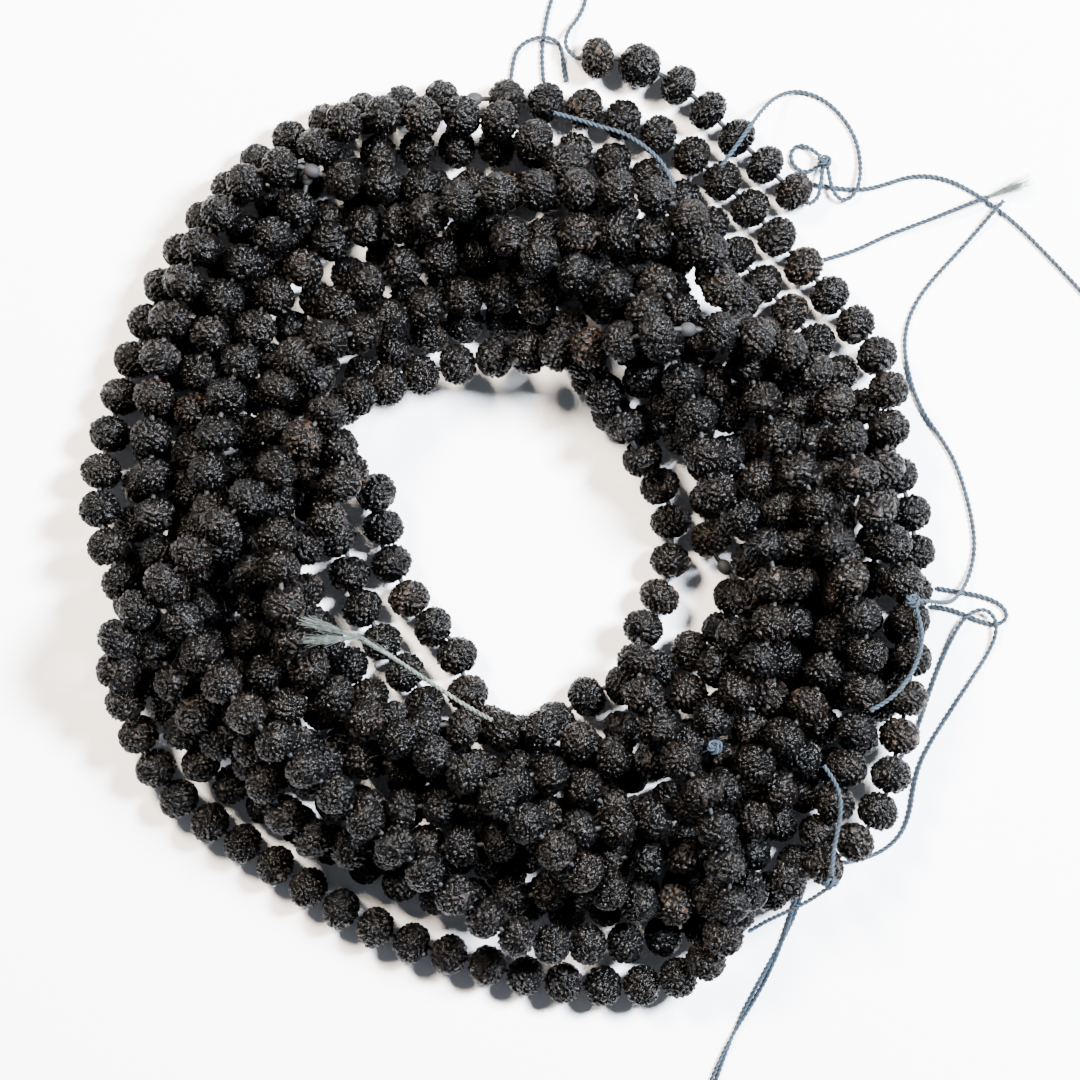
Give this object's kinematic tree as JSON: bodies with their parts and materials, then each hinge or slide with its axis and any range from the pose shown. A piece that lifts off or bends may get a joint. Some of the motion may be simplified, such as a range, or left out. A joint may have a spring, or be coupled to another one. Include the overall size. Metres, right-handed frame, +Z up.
{
  "type": "mala prayer beads",
  "caption": "Round pile of strung rudraksha seed prayer beads laid as an open coil, with loose, knotted and frayed thread tails.",
  "frame": {"origin": "middle of the pile's outline, on the surface it rests on", "axes": "+Z up, square to the surface; +Y towards the large thread loop, +X towards the long thread tail"},
  "size_m": [0.1929, 0.2115, 0.0339],
  "materials": {
    "rudraksha_seed": "matte",
    "thread": "matte",
    "frayed_thread": "matte"
  },
  "bodies": {
    "string_1": {"string_1_beads": "rudraksha_seed", "string_1_thread": "thread", "string_1_knot": "thread"},
    "string_2": {"string_2_beads": "rudraksha_seed", "string_2_thread": "thread", "string_2_knot": "thread"},
    "string_3": {"string_3_beads": "rudraksha_seed", "string_3_thread": "thread", "string_3_knot": "thread", "loose_thread": "thread", "top_loop": "thread", "small_loop": "thread", "cross_thread": "thread", "slack_loop": "thread", "end_bead_tail": "thread", "tangle_loop": "thread", "tangle_knot": "thread", "long_tail": "thread", "frayed_tail": "thread", "frayed_tuft": "frayed_thread"},
    "string_4": {"string_4_beads": "rudraksha_seed", "string_4_thread": "thread", "string_4_knot": "thread"},
    "string_5": {"string_5_beads": "rudraksha_seed", "string_5_thread": "thread", "string_5_knot": "thread"},
    "string_6": {"string_6_beads": "rudraksha_seed", "string_6_thread": "thread", "string_6_knot": "thread", "right_tail": "thread", "side_loop": "thread", "long_loop": "thread", "edge_thread_1": "thread", "edge_thread_2": "thread", "edge_knot": "thread", "low_knot": "thread", "knot_tail": "thread", "bottom_tail": "thread", "lay_tail": "frayed_thread", "lay_tuft_1": "frayed_thread", "lay_tuft_2": "frayed_thread", "thread_ball": "thread"},
    "run_bead_1_body": {"run_bead_1": "rudraksha_seed"},
    "run_bead_2_body": {"run_bead_2": "rudraksha_seed"},
    "run_bead_3_body": {"run_bead_3": "rudraksha_seed"},
    "run_bead_4_body": {"run_bead_4": "rudraksha_seed"},
    "run_bead_5_body": {"run_bead_5": "rudraksha_seed"},
    "run_bead_6_body": {"run_bead_6": "rudraksha_seed"},
    "run_bead_7_body": {"run_bead_7": "rudraksha_seed"},
    "run_bead_8_body": {"run_bead_8": "rudraksha_seed"},
    "edge_bead_1_body": {"edge_bead_1": "rudraksha_seed"},
    "edge_bead_2_body": {"edge_bead_2": "rudraksha_seed"},
    "loose_bead_1_body": {"loose_bead_1": "rudraksha_seed"},
    "large_bead_body": {"large_bead": "rudraksha_seed"},
    "loose_bead_3_body": {"loose_bead_3": "rudraksha_seed"},
    "loose_bead_4_body": {"loose_bead_4": "rudraksha_seed"},
    "loose_bead_5_body": {"loose_bead_5": "rudraksha_seed"},
    "loose_bead_6_body": {"loose_bead_6": "rudraksha_seed"},
    "loose_bead_7_body": {"loose_bead_7": "rudraksha_seed"}
  },
  "joints": [
    {"name": "lift_string_2", "type": "slide", "parent": "string_1", "child": "string_2", "axis": [0, 0, 1], "range_m": [0, 0.04]},
    {"name": "lift_string_3", "type": "slide", "parent": "string_2", "child": "string_3", "axis": [0, 0, 1], "range_m": [0, 0.04]},
    {"name": "lift_string_4", "type": "slide", "parent": "string_3", "child": "string_4", "axis": [0, 0, 1], "range_m": [0, 0.04]},
    {"name": "lift_string_5", "type": "slide", "parent": "string_4", "child": "string_5", "axis": [0, 0, 1], "range_m": [0, 0.04]},
    {"name": "lift_string_6", "type": "slide", "parent": "string_5", "child": "string_6", "axis": [0, 0, 1], "range_m": [0, 0.04]},
    {"name": "turn_run_bead_1", "type": "hinge", "parent": "string_6", "child": "run_bead_1_body", "pos_m": [0.02187, 0.01769, 0.01166], "axis": [0.3706, -0.9284, -0.0282], "continuous": true},
    {"name": "turn_run_bead_2", "type": "hinge", "parent": "string_6", "child": "run_bead_2_body", "pos_m": [0.02489, 0.01189, 0.0093], "axis": [0.4509, -0.6483, -0.6134], "continuous": true},
    {"name": "turn_run_bead_3", "type": "hinge", "parent": "string_6", "child": "run_bead_3_body", "pos_m": [0.02827, 0.00664, 0.00552], "axis": [0.4679, -0.7808, -0.414], "continuous": true},
    {"name": "turn_run_bead_4", "type": "hinge", "parent": "string_6", "child": "run_bead_4_body", "pos_m": [0.0303, 0.00011, 0.004], "axis": [0.0858, -0.9963, 0.0001], "continuous": true},
    {"name": "turn_run_bead_5", "type": "hinge", "parent": "string_6", "child": "run_bead_5_body", "pos_m": [0.03028, -0.00721, 0.004], "axis": [-0.0924, -0.9957, 0], "continuous": true},
    {"name": "turn_run_bead_6", "type": "hinge", "parent": "string_6", "child": "run_bead_6_body", "pos_m": [0.02816, -0.01406, 0.00439], "axis": [-0.484, -0.8686, 0.106], "continuous": true},
    {"name": "turn_run_bead_7", "type": "hinge", "parent": "string_6", "child": "run_bead_7_body", "pos_m": [0.02514, -0.01981, 0.00711], "axis": [-0.3375, -0.6956, 0.6343], "continuous": true},
    {"name": "turn_run_bead_8", "type": "hinge", "parent": "string_6", "child": "run_bead_8_body", "pos_m": [0.02402, -0.02561, 0.01116], "axis": [0.0316, -0.8836, 0.4671], "continuous": true},
    {"name": "turn_edge_bead_1", "type": "hinge", "parent": "string_5", "child": "edge_bead_1_body", "pos_m": [-0.00831, -0.03823, 0.01232], "axis": [-0.9729, 0.2124, 0.0912], "continuous": true},
    {"name": "turn_edge_bead_2", "type": "hinge", "parent": "string_5", "child": "edge_bead_2_body", "pos_m": [-0.01537, -0.03803, 0.01165], "axis": [-0.9484, -0.158, -0.2749], "continuous": true},
    {"name": "turn_loose_bead_1", "type": "hinge", "parent": "string_3", "child": "loose_bead_1_body", "pos_m": [0.01656, 0.08672, 0.004], "axis": [0.9996, 0.0281, 0], "continuous": true},
    {"name": "turn_large_bead", "type": "hinge", "parent": "string_3", "child": "large_bead_body", "pos_m": [0.02449, 0.08528, 0.004], "axis": [0.9399, -0.3413, 0], "continuous": true},
    {"name": "turn_loose_bead_3", "type": "hinge", "parent": "string_3", "child": "loose_bead_3_body", "pos_m": [0.03177, 0.08166, 0.004], "axis": [0.8243, -0.5662, 0], "continuous": true},
    {"name": "turn_loose_bead_4", "type": "hinge", "parent": "string_3", "child": "loose_bead_4_body", "pos_m": [0.03733, 0.07691, 0.004], "axis": [0.6872, -0.7264, 0], "continuous": true},
    {"name": "turn_loose_bead_5", "type": "hinge", "parent": "string_3", "child": "loose_bead_5_body", "pos_m": [0.04261, 0.07181, 0.004], "axis": [0.7501, -0.6614, 0], "continuous": true},
    {"name": "turn_loose_bead_6", "type": "hinge", "parent": "string_3", "child": "loose_bead_6_body", "pos_m": [0.04795, 0.06676, 0.004], "axis": [0.7022, -0.712, 0], "continuous": true},
    {"name": "turn_loose_bead_7", "type": "hinge", "parent": "string_3", "child": "loose_bead_7_body", "pos_m": [0.05335, 0.06179, 0.004], "axis": [0.7682, -0.6403, 0], "continuous": true}
  ]
}
